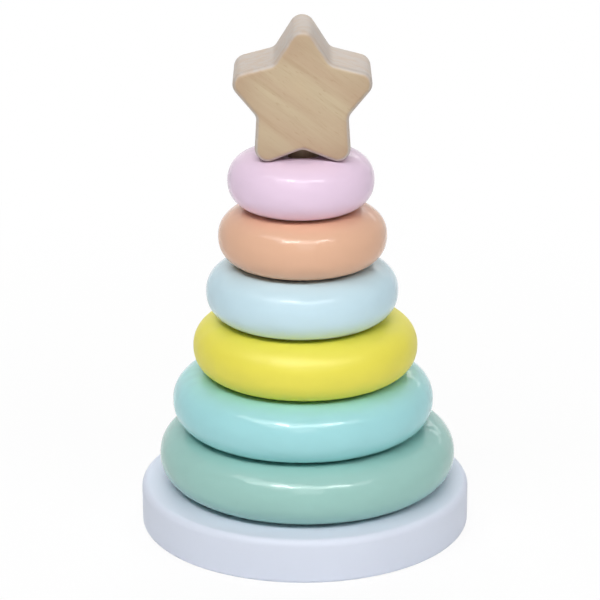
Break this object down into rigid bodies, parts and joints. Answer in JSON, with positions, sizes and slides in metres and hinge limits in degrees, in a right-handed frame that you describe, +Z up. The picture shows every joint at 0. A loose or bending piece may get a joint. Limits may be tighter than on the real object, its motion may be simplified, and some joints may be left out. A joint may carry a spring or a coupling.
{
  "type": "stacking ring tower",
  "caption": "Wooden stacking toy: painted rings of falling size threaded on a post in a round base, topped by a thick lift-off beech star.",
  "frame": {"origin": "centre of the base's underside, on the post's axis", "axes": "+Z up along the post, -Y towards the viewer that the star faces, +X to the viewer's right"},
  "size_m": [0.11, 0.11, 0.1711],
  "materials": {
    "white_paint": "satin white paint with a faint cool cast, on turned wood",
    "dowel_wood": "bare sanded beech dowel",
    "zinc_steel": "bright zinc plate",
    "sage_paint": "gloss sage green paint on turned wood",
    "aqua_paint": "gloss aqua paint on turned wood",
    "yellow_paint": "gloss pale yellow paint on turned wood",
    "blue_paint": "gloss pale blue paint on turned wood",
    "peach_paint": "gloss peach paint on turned wood",
    "lilac_paint": "gloss lilac pink paint on turned wood",
    "beech_wood": "clear satin varnish on sanded beech"
  },
  "bodies": {
    "stand": {"base_disc": "white_paint", "post": "dowel_wood", "post_screw": "zinc_steel"},
    "ring_1": {"ring_1_sage": "sage_paint"},
    "ring_2": {"ring_2_aqua": "aqua_paint"},
    "ring_3": {"ring_3_yellow": "yellow_paint"},
    "ring_4": {"ring_4_blue": "blue_paint"},
    "ring_5": {"ring_5_peach": "peach_paint"},
    "ring_6": {"ring_6_lilac": "lilac_paint"},
    "star": {"star_topper": "beech_wood"}
  },
  "joints": [
    {"name": "ring_1_lift", "type": "slide", "parent": "stand", "child": "ring_1", "axis": [0, 0, 1], "range_m": [0, 0.136]},
    {"name": "ring_2_lift", "type": "slide", "parent": "ring_1", "child": "ring_2", "axis": [0, 0, 1], "range_m": [0, 0.117]},
    {"name": "ring_3_lift", "type": "slide", "parent": "ring_2", "child": "ring_3", "axis": [0, 0, 1], "range_m": [0, 0.098]},
    {"name": "ring_4_lift", "type": "slide", "parent": "ring_3", "child": "ring_4", "axis": [0, 0, 1], "range_m": [0, 0.079]},
    {"name": "ring_5_lift", "type": "slide", "parent": "ring_4", "child": "ring_5", "axis": [0, 0, 1], "range_m": [0, 0.06]},
    {"name": "ring_6_lift", "type": "slide", "parent": "ring_5", "child": "ring_6", "axis": [0, 0, 1], "range_m": [0, 0.041]},
    {"name": "star_lift", "type": "slide", "parent": "ring_6", "child": "star", "axis": [0, 0, 1], "range_m": [0, 0.022]}
  ]
}
